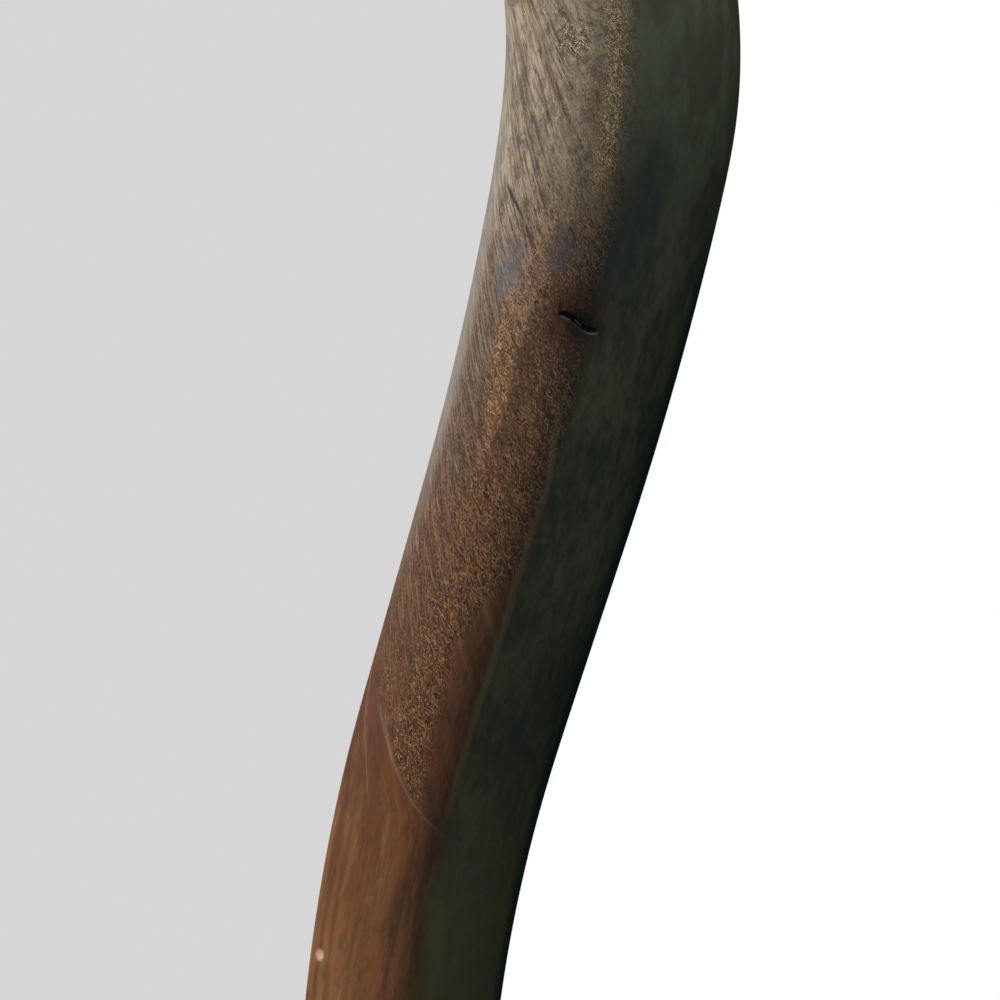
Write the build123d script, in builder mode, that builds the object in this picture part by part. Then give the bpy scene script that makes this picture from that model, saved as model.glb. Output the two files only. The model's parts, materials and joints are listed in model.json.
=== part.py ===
"""Free-standing wooden wing dummy: a round trunk with three arms and a bent leg,
hung on two slats in a braced stand.

Millimetres, +Z up. The origin is on the floor at the centre of the four floor anchor
holes. The dummy faces -Y and the slats run along X.
"""

import os
from math import cos, pi, radians, sin, tan

from build123d import *

# --- trunk -------------------------------------------------------------------------
TRUNK_DIAMETER = 228
TRUNK_LENGTH = 1500
TRUNK_BOTTOM = 130
TRUNK_BEVEL = 9
TRUNK_TOP = TRUNK_BOTTOM + TRUNK_LENGTH
TRUNK_RADIUS = TRUNK_DIAMETER / 2

# --- clearances --------------------------------------------------------------------
MORTISE_GAP = 0.5          # each side of a sliding tenon or slat
SHOULDER_GAP = 0.5         # coped shoulder to trunk
PIN_GAP = 0.3              # around a pin that can be drawn out
SNUG_GAP = 0.05            # around a dowel or screw that stays in

# --- arms --------------------------------------------------------------------------
ARM_HEIGHTS = {"arm_upper_right": 1390, "arm_upper_left": 1354, "arm_middle": 1120}
ARM_SPLAYS = {"arm_upper_right": 15, "arm_upper_left": -15, "arm_middle": 0}
ARM_REACH = 300            # shoulder to tip
ARM_ROOT_DIAMETER = 50
ARM_TIP_DIAMETER = 38
ARM_TENON = 32
ARM_TENON_REAR = 54        # tenon standing out behind the trunk
ARM_PLAY = 8               # how far an arm pulls out before its pin stops it

# --- leg ---------------------------------------------------------------------------
LEG_HEIGHT = 705           # leg axis at the trunk axis
LEG_SLOPE = 20             # thigh below the horizontal
LEG_TENON = 45
LEG_TENON_REAR = 58
LEG_PLAY = 8
THIGH_LENGTH = 308         # trunk axis to the start of the knee bend
THIGH_DIAMETER = 66
KNEE_DIAMETER = 76.5
ANKLE_DIAMETER = 62.5
FOOT_ROUND = 7
KNEE_RADIUS = 115          # tight part of the bend
UPPER_SHIN_RADIUS = 183    # easier part of the bend
SHIN_BOW_RADIUS = 1100     # the shin bows slightly backwards ...
SHIN_STRAIGHT = 69
ANKLE_RADIUS = 532         # ... then curves back towards the vertical
KNEE_LEAN = -14            # lean of the axis from the vertical at the end of each bend
UPPER_SHIN_LEAN = 10.75
SHIN_LEAN = 17.0
FOOT_LEAN = 1.4

# --- locking pins ------------------------------------------------------------------
ARM_PIN_TOP, ARM_PIN_BOTTOM, ARM_PIN_LENGTH = 15, 11, 100
LEG_PIN_TOP, LEG_PIN_BOTTOM, LEG_PIN_LENGTH = 20, 15, 130
SLAT_PIN_TOP, SLAT_PIN_BOTTOM, SLAT_PIN_LENGTH = 14, 10, 110

# --- slats -------------------------------------------------------------------------
SLAT_HEIGHTS = {"upper": 1240, "lower": 430}
SLAT_DEPTH = 60
SLAT_THICKNESS = 25
SLAT_OVERHANG = 50         # beyond the outer face of each post
TRUNK_TRAVEL = 40          # sideways, each way, before a stop dowel is met
STOP_DIAMETER = 12
STOP_LENGTH = 92

# --- stand -------------------------------------------------------------------------
POST_SIZE = 80
POST_SPACING = 900
POST_TOP = 1720
POST_TENON_X, POST_TENON_Y, POST_TENON_LENGTH = 34, 60, 62
RUNNER_LENGTH = 960
RUNNER_WIDTH = 90
RUNNER_HEIGHT = 80
RUNNER_BEVEL = 26
FOOT_HEIGHT = 10
FOOT_DIAMETER = 60
FOOT_POSITIONS = (-435, 0, 435)
ANCHOR_SPACING_Y = 480
ANCHOR_DIAMETER = 11
BEAM_Y = 430
BEAM_WIDTH = 70
BEAM_HEIGHT = 60
BEAM_NOTCH = 15
RAIL_HEIGHT = 80
RAIL_THICKNESS = 30
BRACE_THICKNESS = 45
BRACE_DEPTH = 60
BRACE_ANGLE = 55
BRACE_FOOT_Y = 285
DRAWBORE_DIAMETER = 12
DRAWBORE_STANDOUT = 3

# --- hardware ----------------------------------------------------------------------
BOLT_DIAMETER = 10
BOLT_ACROSS_FLATS = 17
BOLT_HEAD = 6.4
NUT_HEIGHT = 8
WASHER_DIAMETER = 24
WASHER_THICKNESS = 2
POCKET_DIAMETER = 28
SCREW_EMBEDMENT = 58
SEAT_DEPTH = 18            # brace wood left under a screw head
FOOT_SCREW_HEAD = 11
FOOT_SCREW_DIAMETER = 5

RUNNER_TOP = FOOT_HEIGHT + RUNNER_HEIGHT
POST_X = POST_SPACING / 2
POST_OUTER_X = POST_X + POST_SIZE / 2
SIDES = {"left": -1, "right": 1}


def export(part, label):
    """Name a finished piece and write it out."""
    part.label = label
    export_step(part, f"parts/{label}.step")


# --- limb planes -------------------------------------------------------------------
def arm_plane(name):
    """Plane at the trunk axis whose normal runs out along the arm."""
    splay = radians(ARM_SPLAYS[name])
    outward = Vector(sin(splay), -cos(splay), 0)
    sideways = Vector(cos(splay), sin(splay), 0)
    return Plane(origin=(0, 0, ARM_HEIGHTS[name]), x_dir=sideways, z_dir=outward)


def leg_plane():
    """Plane at the trunk axis whose normal runs out along the thigh."""
    slope = radians(LEG_SLOPE)
    return Plane(origin=(0, 0, LEG_HEIGHT), x_dir=(1, 0, 0), z_dir=(0, -cos(slope), -sin(slope)))


def point_on(plane, distance):
    """The point at a distance along the plane's normal."""
    return plane.origin + plane.z_dir * distance


# --- tapered pins ------------------------------------------------------------------
def pin_hole(centre, top, bottom, length):
    """Cut a vertical taper bored for a pin, a little larger all round."""
    with Locations(centre):
        Cone(bottom / 2 + PIN_GAP, top / 2 + PIN_GAP, length, mode=Mode.SUBTRACT)


def tapered_pin(centre, top, bottom, length):
    """A turned vertical pin, thicker at the top, with eased ends."""
    with BuildPart() as pin:
        with Locations(centre):
            Cone(bottom / 2, top / 2, length)
        chamfer(pin.edges().filter_by(GeomType.CIRCLE), 1.2)
    return pin.part


ARM_PIN_DISTANCE = TRUNK_RADIUS + ARM_PLAY + ARM_PIN_TOP / 2 + PIN_GAP
LEG_PIN_DISTANCE = (TRUNK_RADIUS + LEG_PIN_TOP / 2 + PIN_GAP) / cos(radians(LEG_SLOPE))


# --- trunk -------------------------------------------------------------------------
def make_trunk():
    with BuildPart() as trunk:
        with BuildSketch(Plane.XY.offset(TRUNK_BOTTOM)):
            Circle(TRUNK_RADIUS)
        extrude(amount=TRUNK_LENGTH)
        chamfer(trunk.edges().filter_by(GeomType.CIRCLE), TRUNK_BEVEL)
        for name in ARM_HEIGHTS:
            with BuildSketch(arm_plane(name)):
                Rectangle(ARM_TENON + 2 * MORTISE_GAP, ARM_TENON + 2 * MORTISE_GAP)
            extrude(amount=TRUNK_DIAMETER, both=True, mode=Mode.SUBTRACT)
        with BuildSketch(leg_plane()):
            Rectangle(LEG_TENON + 2 * MORTISE_GAP, LEG_TENON + 2 * MORTISE_GAP)
        extrude(amount=TRUNK_DIAMETER, both=True, mode=Mode.SUBTRACT)
        for height in SLAT_HEIGHTS.values():
            with BuildSketch(Plane.YZ):
                with Locations((0, height)):
                    Rectangle(SLAT_THICKNESS + 2 * MORTISE_GAP, SLAT_DEPTH + 2 * MORTISE_GAP)
            extrude(amount=TRUNK_DIAMETER, both=True, mode=Mode.SUBTRACT)
    return trunk.part


# --- arms --------------------------------------------------------------------------
def make_arm(name):
    """A turned, tapering arm with a domed tip and a square tenon through the trunk."""
    plane = arm_plane(name)
    root, tip = ARM_ROOT_DIAMETER / 2, ARM_TIP_DIAMETER / 2
    start = TRUNK_RADIUS - 12
    dome = TRUNK_RADIUS + SHOULDER_GAP + ARM_REACH
    with BuildPart() as arm:
        section = Plane(origin=plane.origin, x_dir=plane.z_dir, z_dir=(0, 0, 1))
        with BuildSketch(section):
            with BuildLine():
                Polyline((dome, 0), (start, 0), (start, root), (dome - tip, tip))
                RadiusArc((dome - tip, tip), (dome, 0), tip)
            make_face()
        revolve(axis=Axis(plane.origin, plane.z_dir))
        with Locations((0, 0, ARM_HEIGHTS[name])):
            Cylinder(TRUNK_RADIUS + SHOULDER_GAP, TRUNK_DIAMETER, mode=Mode.SUBTRACT)
        with BuildSketch(plane.offset(-TRUNK_RADIUS - ARM_TENON_REAR)):
            Rectangle(ARM_TENON, ARM_TENON)
        extrude(amount=2 * TRUNK_RADIUS + ARM_TENON_REAR + 8)
        rear_face = arm.faces().sort_by(Axis(plane.origin, plane.z_dir))[0]
        chamfer(rear_face.edges(), 3)
        pin_hole(point_on(plane, -ARM_PIN_DISTANCE), ARM_PIN_TOP, ARM_PIN_BOTTOM, ARM_PIN_LENGTH)
    return arm.part


# --- leg ---------------------------------------------------------------------------
def leg_diameter(distance, knee_distance, foot_distance):
    """Thickness along the leg: swelling at the knee, thinner towards thigh and foot."""
    if distance <= knee_distance:
        ease = min((knee_distance - distance) / 200, 1)
        return KNEE_DIAMETER - (KNEE_DIAMETER - THIGH_DIAMETER) * (1 - cos(pi * ease)) / 2
    remaining = max(1 - (distance - knee_distance) / (foot_distance - knee_distance), 0)
    return ANKLE_DIAMETER + (KNEE_DIAMETER - ANKLE_DIAMETER) * remaining ** 1.6


def make_leg():
    """Thigh, knee and shin in one bent limb, with a square tenon through the trunk."""
    plane = leg_plane()
    thigh_start = TRUNK_RADIUS - 20
    with BuildLine(Plane.YZ) as axis_line:
        slope = radians(LEG_SLOPE)
        first = (-thigh_start * cos(slope), LEG_HEIGHT - thigh_start * sin(slope))
        last = (-THIGH_LENGTH * cos(slope), LEG_HEIGHT - THIGH_LENGTH * sin(slope))
        thigh = Line(first, last)
        lean = LEG_SLOPE - 90
        knee = JernArc(thigh @ 1, thigh % 1, KNEE_RADIUS, KNEE_LEAN - lean)
        upper = JernArc(knee @ 1, knee % 1, UPPER_SHIN_RADIUS, UPPER_SHIN_LEAN - KNEE_LEAN)
        bow = JernArc(upper @ 1, upper % 1, SHIN_BOW_RADIUS, SHIN_LEAN - UPPER_SHIN_LEAN)
        shin = Line(bow @ 1, (bow @ 1) + (bow % 1) * SHIN_STRAIGHT)
        JernArc(shin @ 1, shin % 1, ANKLE_RADIUS, FOOT_LEAN - SHIN_LEAN)
    path = axis_line.wire()
    knee_distance = thigh.length + knee.length + upper.length * 0.8
    sections = 34
    with BuildPart() as leg:
        for index in range(sections + 1):
            share = index / sections
            with BuildSketch(Plane(path ^ share)):
                Circle(leg_diameter(share * path.length, knee_distance, path.length) / 2)
        loft()
        foot_edge = leg.faces().sort_by(Axis.Z)[0].edges()
        fillet(foot_edge, FOOT_ROUND)
        cope_shift = -LEG_PLAY * cos(radians(LEG_SLOPE))
        with Locations((0, cope_shift, LEG_HEIGHT)):
            Cylinder(TRUNK_RADIUS + SHOULDER_GAP, 2 * TRUNK_DIAMETER, mode=Mode.SUBTRACT)
        with BuildSketch(plane.offset(-TRUNK_RADIUS - LEG_TENON_REAR)):
            Rectangle(LEG_TENON, LEG_TENON)
        extrude(amount=2 * TRUNK_RADIUS + LEG_TENON_REAR + 30)
        rear_face = leg.faces().sort_by(Axis.Y)[-1]
        chamfer(rear_face.edges(), 3)
        pin_hole(point_on(plane, -LEG_PIN_DISTANCE), LEG_PIN_TOP, LEG_PIN_BOTTOM, LEG_PIN_LENGTH)
    return leg.part


# --- slats -------------------------------------------------------------------------
SLAT_PIN_X = POST_OUTER_X + SLAT_PIN_TOP / 2 + 1
STOP_X = TRUNK_RADIUS + TRUNK_TRAVEL + SHOULDER_GAP + STOP_DIAMETER / 2


def make_slat(height):
    """A flat spring slat along X, bored for its end pins and for two stop dowels."""
    with BuildPart() as slat:
        with BuildSketch(Plane.YZ):
            with Locations((0, height)):
                Rectangle(SLAT_THICKNESS, SLAT_DEPTH)
        extrude(amount=POST_OUTER_X + SLAT_OVERHANG, both=True)
        chamfer(slat.faces().sort_by(Axis.X)[0].edges(), 3)
        chamfer(slat.faces().sort_by(Axis.X)[-1].edges(), 3)
        for side in SIDES.values():
            pin_hole((side * SLAT_PIN_X, 0, height), SLAT_PIN_TOP, SLAT_PIN_BOTTOM, SLAT_PIN_LENGTH)
            with Locations((side * STOP_X, 0, height)):
                Cylinder(STOP_DIAMETER / 2 + SNUG_GAP, SLAT_DEPTH, mode=Mode.SUBTRACT)
    return slat.part


def make_stops():
    """Four dowels in the slats that limit how far the trunk slides sideways."""
    with BuildPart() as stops:
        for height in SLAT_HEIGHTS.values():
            with Locations((-STOP_X, 0, height), (STOP_X, 0, height)):
                Cylinder(STOP_DIAMETER / 2, STOP_LENGTH)
        chamfer(stops.edges().filter_by(GeomType.CIRCLE), 1)
    return stops.part


# --- stand: posts and runners ------------------------------------------------------
DRAWBORE_Z = RUNNER_TOP - POST_TENON_LENGTH / 2
DRAWBORE_Y = (-15, 15)
BRACE_SLOPE = tan(radians(BRACE_ANGLE))
BRACE_FACE = POST_SIZE / 2
BRACE_FOOT_LENGTH = BRACE_DEPTH / sin(radians(BRACE_ANGLE))
BRACE_HEAD_Z = RUNNER_TOP + (BRACE_FOOT_Y - BRACE_FACE) * BRACE_SLOPE
BRACE_HEAD_LENGTH = BRACE_DEPTH / cos(radians(BRACE_ANGLE))
BRACE_UPPER_SCREW_Z = BRACE_HEAD_Z + BRACE_HEAD_LENGTH / 2
BRACE_LOWER_SCREW_Y = BRACE_FOOT_Y + BRACE_FOOT_LENGTH / 2
RAIL_Z = POST_TOP - RAIL_HEIGHT / 2
RAIL_BOLT_Z = (RAIL_Z - 20, RAIL_Z + 20)
BEAM_BOTTOM = RUNNER_TOP - BEAM_NOTCH
BEAM_TOP = BEAM_BOTTOM + BEAM_HEIGHT


def make_post(x):
    """A square post, tenoned into its runner, with mortises for both slats."""
    with BuildPart() as post:
        with BuildSketch(Plane.XY.offset(RUNNER_TOP)):
            with Locations((x, 0)):
                Rectangle(POST_SIZE, POST_SIZE)
        extrude(amount=POST_TOP - RUNNER_TOP)
        chamfer(post.edges().filter_by(Axis.Z), 4)
        chamfer(post.faces().sort_by(Axis.Z)[-1].edges(), 6)
        with BuildSketch(Plane.XY.offset(RUNNER_TOP - POST_TENON_LENGTH)):
            with Locations((x, 0)):
                Rectangle(POST_TENON_X, POST_TENON_Y)
        extrude(amount=POST_TENON_LENGTH)
        for height in SLAT_HEIGHTS.values():
            with BuildSketch(Plane.YZ.offset(x)):
                with Locations((0, height + MORTISE_GAP)):
                    Rectangle(SLAT_THICKNESS + 2 * MORTISE_GAP, SLAT_DEPTH + 2 * MORTISE_GAP)
            extrude(amount=POST_SIZE, both=True, mode=Mode.SUBTRACT)
        with BuildSketch(Plane.YZ.offset(x)):
            with Locations(*[(y, DRAWBORE_Z) for y in DRAWBORE_Y]):
                Circle(DRAWBORE_DIAMETER / 2 + SNUG_GAP)
        extrude(amount=POST_SIZE, both=True, mode=Mode.SUBTRACT)
        with BuildSketch(Plane.XZ):
            with Locations(*[(x, z) for z in RAIL_BOLT_Z]):
                Circle(BOLT_DIAMETER / 2 + SNUG_GAP)
        extrude(amount=POST_SIZE, both=True, mode=Mode.SUBTRACT)
        with BuildSketch(Plane.XZ.offset(-BRACE_FACE)):
            with Locations((x, BRACE_UPPER_SCREW_Z)):
                Circle(BOLT_DIAMETER / 2 + SNUG_GAP)
        extrude(amount=SCREW_EMBEDMENT, mode=Mode.SUBTRACT)
    return post.part


def make_runner(x):
    """A floor runner with bevelled ends, mortised for its post."""
    half = RUNNER_LENGTH / 2
    with BuildPart() as runner:
        with BuildSketch(Plane.YZ.offset(x)):
            with BuildLine():
                Polyline(
                    (-half, FOOT_HEIGHT),
                    (half, FOOT_HEIGHT),
                    (half, RUNNER_TOP - RUNNER_BEVEL),
                    (half - RUNNER_BEVEL, RUNNER_TOP),
                    (RUNNER_BEVEL - half, RUNNER_TOP),
                    (-half, RUNNER_TOP - RUNNER_BEVEL),
                    close=True,
                )
            make_face()
        extrude(amount=RUNNER_WIDTH / 2, both=True)
        chamfer(runner.edges().filter_by(Axis.Y), 4)
        with BuildSketch(Plane.XY.offset(RUNNER_TOP)):
            with Locations((x, 0)):
                Rectangle(POST_TENON_X, POST_TENON_Y)
        extrude(amount=-POST_TENON_LENGTH, mode=Mode.SUBTRACT)
        with BuildSketch(Plane.XY.offset(RUNNER_TOP)):
            with Locations((x, BEAM_Y)):
                Rectangle(RUNNER_WIDTH, BEAM_WIDTH)
        extrude(amount=-BEAM_NOTCH, mode=Mode.SUBTRACT)
        with BuildSketch(Plane.YZ.offset(x)):
            with Locations(*[(y, DRAWBORE_Z) for y in DRAWBORE_Y]):
                Circle(DRAWBORE_DIAMETER / 2 + SNUG_GAP)
        extrude(amount=RUNNER_WIDTH, both=True, mode=Mode.SUBTRACT)
        with BuildSketch(Plane.XY):
            with Locations((x, -ANCHOR_SPACING_Y / 2), (x, ANCHOR_SPACING_Y / 2)):
                Circle(ANCHOR_DIAMETER / 2)
        extrude(amount=RUNNER_TOP, mode=Mode.SUBTRACT)
        with BuildSketch(Plane.XY.offset(RUNNER_TOP)):
            with Locations((x, BRACE_LOWER_SCREW_Y), (x, BEAM_Y)):
                Circle(BOLT_DIAMETER / 2 + SNUG_GAP)
        extrude(amount=-SCREW_EMBEDMENT, mode=Mode.SUBTRACT)
        with BuildSketch(Plane.XY.offset(FOOT_HEIGHT)):
            with Locations(*[(x, y) for y in FOOT_POSITIONS]):
                Circle(FOOT_SCREW_DIAMETER / 2 + SNUG_GAP)
        extrude(amount=18, mode=Mode.SUBTRACT)
    return runner.part


def make_drawbores():
    """Dowels through each runner and post tenon."""
    length = RUNNER_WIDTH + 2 * DRAWBORE_STANDOUT
    with BuildPart() as dowels:
        for side in SIDES.values():
            with BuildSketch(Plane.YZ.offset(side * POST_X)):
                with Locations(*[(y, DRAWBORE_Z) for y in DRAWBORE_Y]):
                    Circle(DRAWBORE_DIAMETER / 2)
            extrude(amount=length / 2, both=True)
        chamfer(dowels.edges().filter_by(GeomType.CIRCLE), 1)
    return dowels.part


# --- stand: beam, rail and braces --------------------------------------------------
def make_rear_beam():
    """Cross beam notched onto the rear ends of both runners."""
    with BuildPart() as beam:
        with BuildSketch(Plane.YZ):
            with Locations((BEAM_Y, (BEAM_BOTTOM + BEAM_TOP) / 2)):
                Rectangle(BEAM_WIDTH, BEAM_HEIGHT)
        extrude(amount=POST_X + RUNNER_WIDTH / 2, both=True)
        chamfer(beam.faces().sort_by(Axis.Z)[-1].edges(), 4)
        with BuildSketch(Plane.XY.offset(BEAM_TOP)):
            with Locations((-POST_X, BEAM_Y), (POST_X, BEAM_Y)):
                Circle(BOLT_DIAMETER / 2 + SNUG_GAP)
        extrude(amount=-BEAM_HEIGHT, mode=Mode.SUBTRACT)
    return beam.part


def make_top_rail():
    """Rail across the rear faces of both posts, above the trunk."""
    with BuildPart() as rail:
        with BuildSketch(Plane.XZ.offset(-POST_SIZE / 2)):
            with Locations((0, RAIL_Z)):
                Rectangle(2 * POST_OUTER_X, RAIL_HEIGHT)
        extrude(amount=-RAIL_THICKNESS)
        chamfer(rail.faces().sort_by(Axis.Y)[-1].edges(), 4)
        with BuildSketch(Plane.XZ):
            with Locations(*[(side * POST_X, z) for side in SIDES.values() for z in RAIL_BOLT_Z]):
                Circle(BOLT_DIAMETER / 2 + SNUG_GAP)
        extrude(amount=-2 * POST_SIZE, mode=Mode.SUBTRACT)
    return rail.part


def make_brace(x):
    """Rear diagonal brace from post to runner, with a flat pocket for each screw head."""
    foot_end = BRACE_FOOT_Y + BRACE_FOOT_LENGTH
    with BuildPart() as brace:
        with BuildSketch(Plane.YZ.offset(x)):
            with BuildLine():
                Polyline(
                    (BRACE_FOOT_Y, RUNNER_TOP),
                    (foot_end, RUNNER_TOP),
                    (BRACE_FACE, BRACE_HEAD_Z + BRACE_HEAD_LENGTH),
                    (BRACE_FACE, BRACE_HEAD_Z),
                    close=True,
                )
            make_face()
        extrude(amount=BRACE_THICKNESS / 2, both=True)
        with BuildSketch(Plane.XZ.offset(-BRACE_FACE)):
            with Locations((x, BRACE_UPPER_SCREW_Z)):
                Circle(BOLT_DIAMETER / 2 + SNUG_GAP)
        extrude(amount=-BRACE_DEPTH, mode=Mode.SUBTRACT)
        with BuildSketch(Plane.XZ.offset(-BRACE_FACE - SEAT_DEPTH)):
            with Locations((x, BRACE_UPPER_SCREW_Z)):
                Circle(POCKET_DIAMETER / 2)
        extrude(amount=-BRACE_DEPTH, mode=Mode.SUBTRACT)
        with BuildSketch(Plane.XY.offset(RUNNER_TOP)):
            with Locations((x, BRACE_LOWER_SCREW_Y)):
                Circle(BOLT_DIAMETER / 2 + SNUG_GAP)
        extrude(amount=BRACE_DEPTH, mode=Mode.SUBTRACT)
        with BuildSketch(Plane.XY.offset(RUNNER_TOP + SEAT_DEPTH)):
            with Locations((x, BRACE_LOWER_SCREW_Y)):
                Circle(POCKET_DIAMETER / 2)
        extrude(amount=BRACE_DEPTH, mode=Mode.SUBTRACT)
    return brace.part


# --- hardware ----------------------------------------------------------------------
def hex_headed(seat, shank):
    """Add a hex bolt or screw whose head sits on the seat plane, shank along -normal."""
    with BuildSketch(seat) as head:
        RegularPolygon(BOLT_ACROSS_FLATS / 2, 6, major_radius=False)
    with BuildSketch(seat) as rod:
        Circle(BOLT_DIAMETER / 2)
    extrude(head.sketch, amount=BOLT_HEAD)
    extrude(rod.sketch, amount=-shank)


def washer(seat):
    """Add a washer standing on the seat plane."""
    with BuildSketch(seat) as ring:
        Circle(WASHER_DIAMETER / 2)
        Circle(BOLT_DIAMETER / 2 + SNUG_GAP, mode=Mode.SUBTRACT)
    extrude(ring.sketch, amount=WASHER_THICKNESS)


def nut(seat):
    """Add a hex nut standing on the seat plane."""
    with BuildSketch(seat) as ring:
        RegularPolygon(BOLT_ACROSS_FLATS / 2, 6, major_radius=False)
        Circle(BOLT_DIAMETER / 2 + SNUG_GAP, mode=Mode.SUBTRACT)
    extrude(ring.sketch, amount=NUT_HEIGHT)


def plane_at(x, y, z, normal):
    return Plane(origin=(x, y, z), z_dir=normal)


RAIL_SPOTS = [(side * POST_X, z) for side in SIDES.values() for z in RAIL_BOLT_Z]
RAIL_REAR = POST_SIZE / 2 + RAIL_THICKNESS
FRONT, REAR, UP = (0, -1, 0), (0, 1, 0), (0, 0, 1)


def make_rail_bolts():
    grip = POST_SIZE + RAIL_THICKNESS + 2 * WASHER_THICKNESS
    with BuildPart() as bolts:
        for x, z in RAIL_SPOTS:
            head_seat = plane_at(x, -POST_SIZE / 2 - WASHER_THICKNESS, z, FRONT)
            hex_headed(head_seat, grip + NUT_HEIGHT + 4)
    return bolts.part


def make_rail_nuts():
    with BuildPart() as nuts:
        for x, z in RAIL_SPOTS:
            nut(plane_at(x, RAIL_REAR + WASHER_THICKNESS, z, REAR))
    return nuts.part


def make_rail_washers():
    with BuildPart() as washers:
        for x, z in RAIL_SPOTS:
            washer(plane_at(x, -POST_SIZE / 2, z, FRONT))
            washer(plane_at(x, RAIL_REAR, z, REAR))
    return washers.part


def stand_seats(lift):
    """Seat planes of the brace and beam screws, lifted off the wood by a distance."""
    seats = []
    for side in SIDES.values():
        x = side * POST_X
        seats.append(plane_at(x, BRACE_FACE + SEAT_DEPTH + lift, BRACE_UPPER_SCREW_Z, REAR))
        seats.append(plane_at(x, BRACE_LOWER_SCREW_Y, RUNNER_TOP + SEAT_DEPTH + lift, UP))
        seats.append(plane_at(x, BEAM_Y, BEAM_TOP + lift, UP))
    return seats


def make_stand_screws():
    """Lag screws: two in each brace and one at each end of the rear beam."""
    with BuildPart() as screws:
        for index, seat in enumerate(stand_seats(WASHER_THICKNESS)):
            through = BEAM_HEIGHT - BEAM_NOTCH if index % 3 == 2 else SEAT_DEPTH
            hex_headed(seat, WASHER_THICKNESS + through + SCREW_EMBEDMENT - 6)
    return screws.part


def make_stand_washers():
    with BuildPart() as washers:
        for seat in stand_seats(0):
            washer(seat)
    return washers.part


FOOT_SPOTS = [(side * POST_X, y) for side in SIDES.values() for y in FOOT_POSITIONS]


def make_rubber_feet():
    """Six rubber discs under the runners, each recessed for its screw."""
    with BuildPart() as feet:
        with BuildSketch(Plane.XY):
            with Locations(*FOOT_SPOTS):
                Circle(FOOT_DIAMETER / 2)
        extrude(amount=FOOT_HEIGHT)
        chamfer(feet.faces().filter_by(Axis.Z).group_by(Axis.Z)[0].edges(), 2)
        with Locations(*[(x, y, 0) for x, y in FOOT_SPOTS]):
            Cylinder(FOOT_SCREW_HEAD / 2 + 1, FOOT_HEIGHT, mode=Mode.SUBTRACT)
            Cylinder(FOOT_SCREW_DIAMETER / 2 + SNUG_GAP, 3 * FOOT_HEIGHT, mode=Mode.SUBTRACT)
    return feet.part


def make_foot_screws():
    """Pan-headed screws that hold the rubber feet."""
    with BuildPart() as screws:
        with BuildSketch(Plane.XY.offset(2)):
            with Locations(*FOOT_SPOTS):
                Circle(FOOT_SCREW_HEAD / 2)
        extrude(amount=3)
        with BuildSketch(Plane.XY.offset(5)):
            with Locations(*FOOT_SPOTS):
                Circle(FOOT_SCREW_DIAMETER / 2)
        extrude(amount=20)
        chamfer(screws.faces().filter_by(Axis.Z).group_by(Axis.Z)[0].edges(), 1)
    return screws.part


# --- build and export --------------------------------------------------------------
os.makedirs("parts", exist_ok=True)

export(make_trunk(), "trunk")
for arm_name in ARM_HEIGHTS:
    export(make_arm(arm_name), arm_name)
    arm_pin_centre = point_on(arm_plane(arm_name), -ARM_PIN_DISTANCE)
    arm_pin = tapered_pin(arm_pin_centre, ARM_PIN_TOP, ARM_PIN_BOTTOM, ARM_PIN_LENGTH)
    export(arm_pin, arm_name.replace("arm", "pin"))
export(make_leg(), "leg")
leg_pin_centre = point_on(leg_plane(), -LEG_PIN_DISTANCE)
export(tapered_pin(leg_pin_centre, LEG_PIN_TOP, LEG_PIN_BOTTOM, LEG_PIN_LENGTH), "pin_leg")

for level, slat_height in SLAT_HEIGHTS.items():
    export(make_slat(slat_height), f"slat_{level}")
    for side_name, side in SIDES.items():
        slat_pin_centre = (side * SLAT_PIN_X, 0, slat_height)
        slat_pin = tapered_pin(slat_pin_centre, SLAT_PIN_TOP, SLAT_PIN_BOTTOM, SLAT_PIN_LENGTH)
        export(slat_pin, f"pin_slat_{level}_{side_name}")
export(make_stops(), "slat_stops")

for side_name, side in SIDES.items():
    export(make_post(side * POST_X), f"post_{side_name}")
    export(make_runner(side * POST_X), f"runner_{side_name}")
    export(make_brace(side * POST_X), f"brace_{side_name}")
export(make_drawbores(), "tenon_dowels")
export(make_rear_beam(), "rear_beam")
export(make_top_rail(), "top_rail")

export(make_rail_bolts(), "rail_bolts")
export(make_rail_nuts(), "rail_nuts")
export(make_rail_washers(), "rail_washers")
export(make_stand_screws(), "stand_screws")
export(make_stand_washers(), "stand_washers")
export(make_rubber_feet(), "rubber_feet")
export(make_foot_screws(), "foot_screws")
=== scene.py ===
"""Wooden wing dummy: looks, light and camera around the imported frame. Metres, +Z up, front is -Y."""
import json
import math

import bmesh
import bpy
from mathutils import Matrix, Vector
from mathutils.bvhtree import BVHTree


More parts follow.
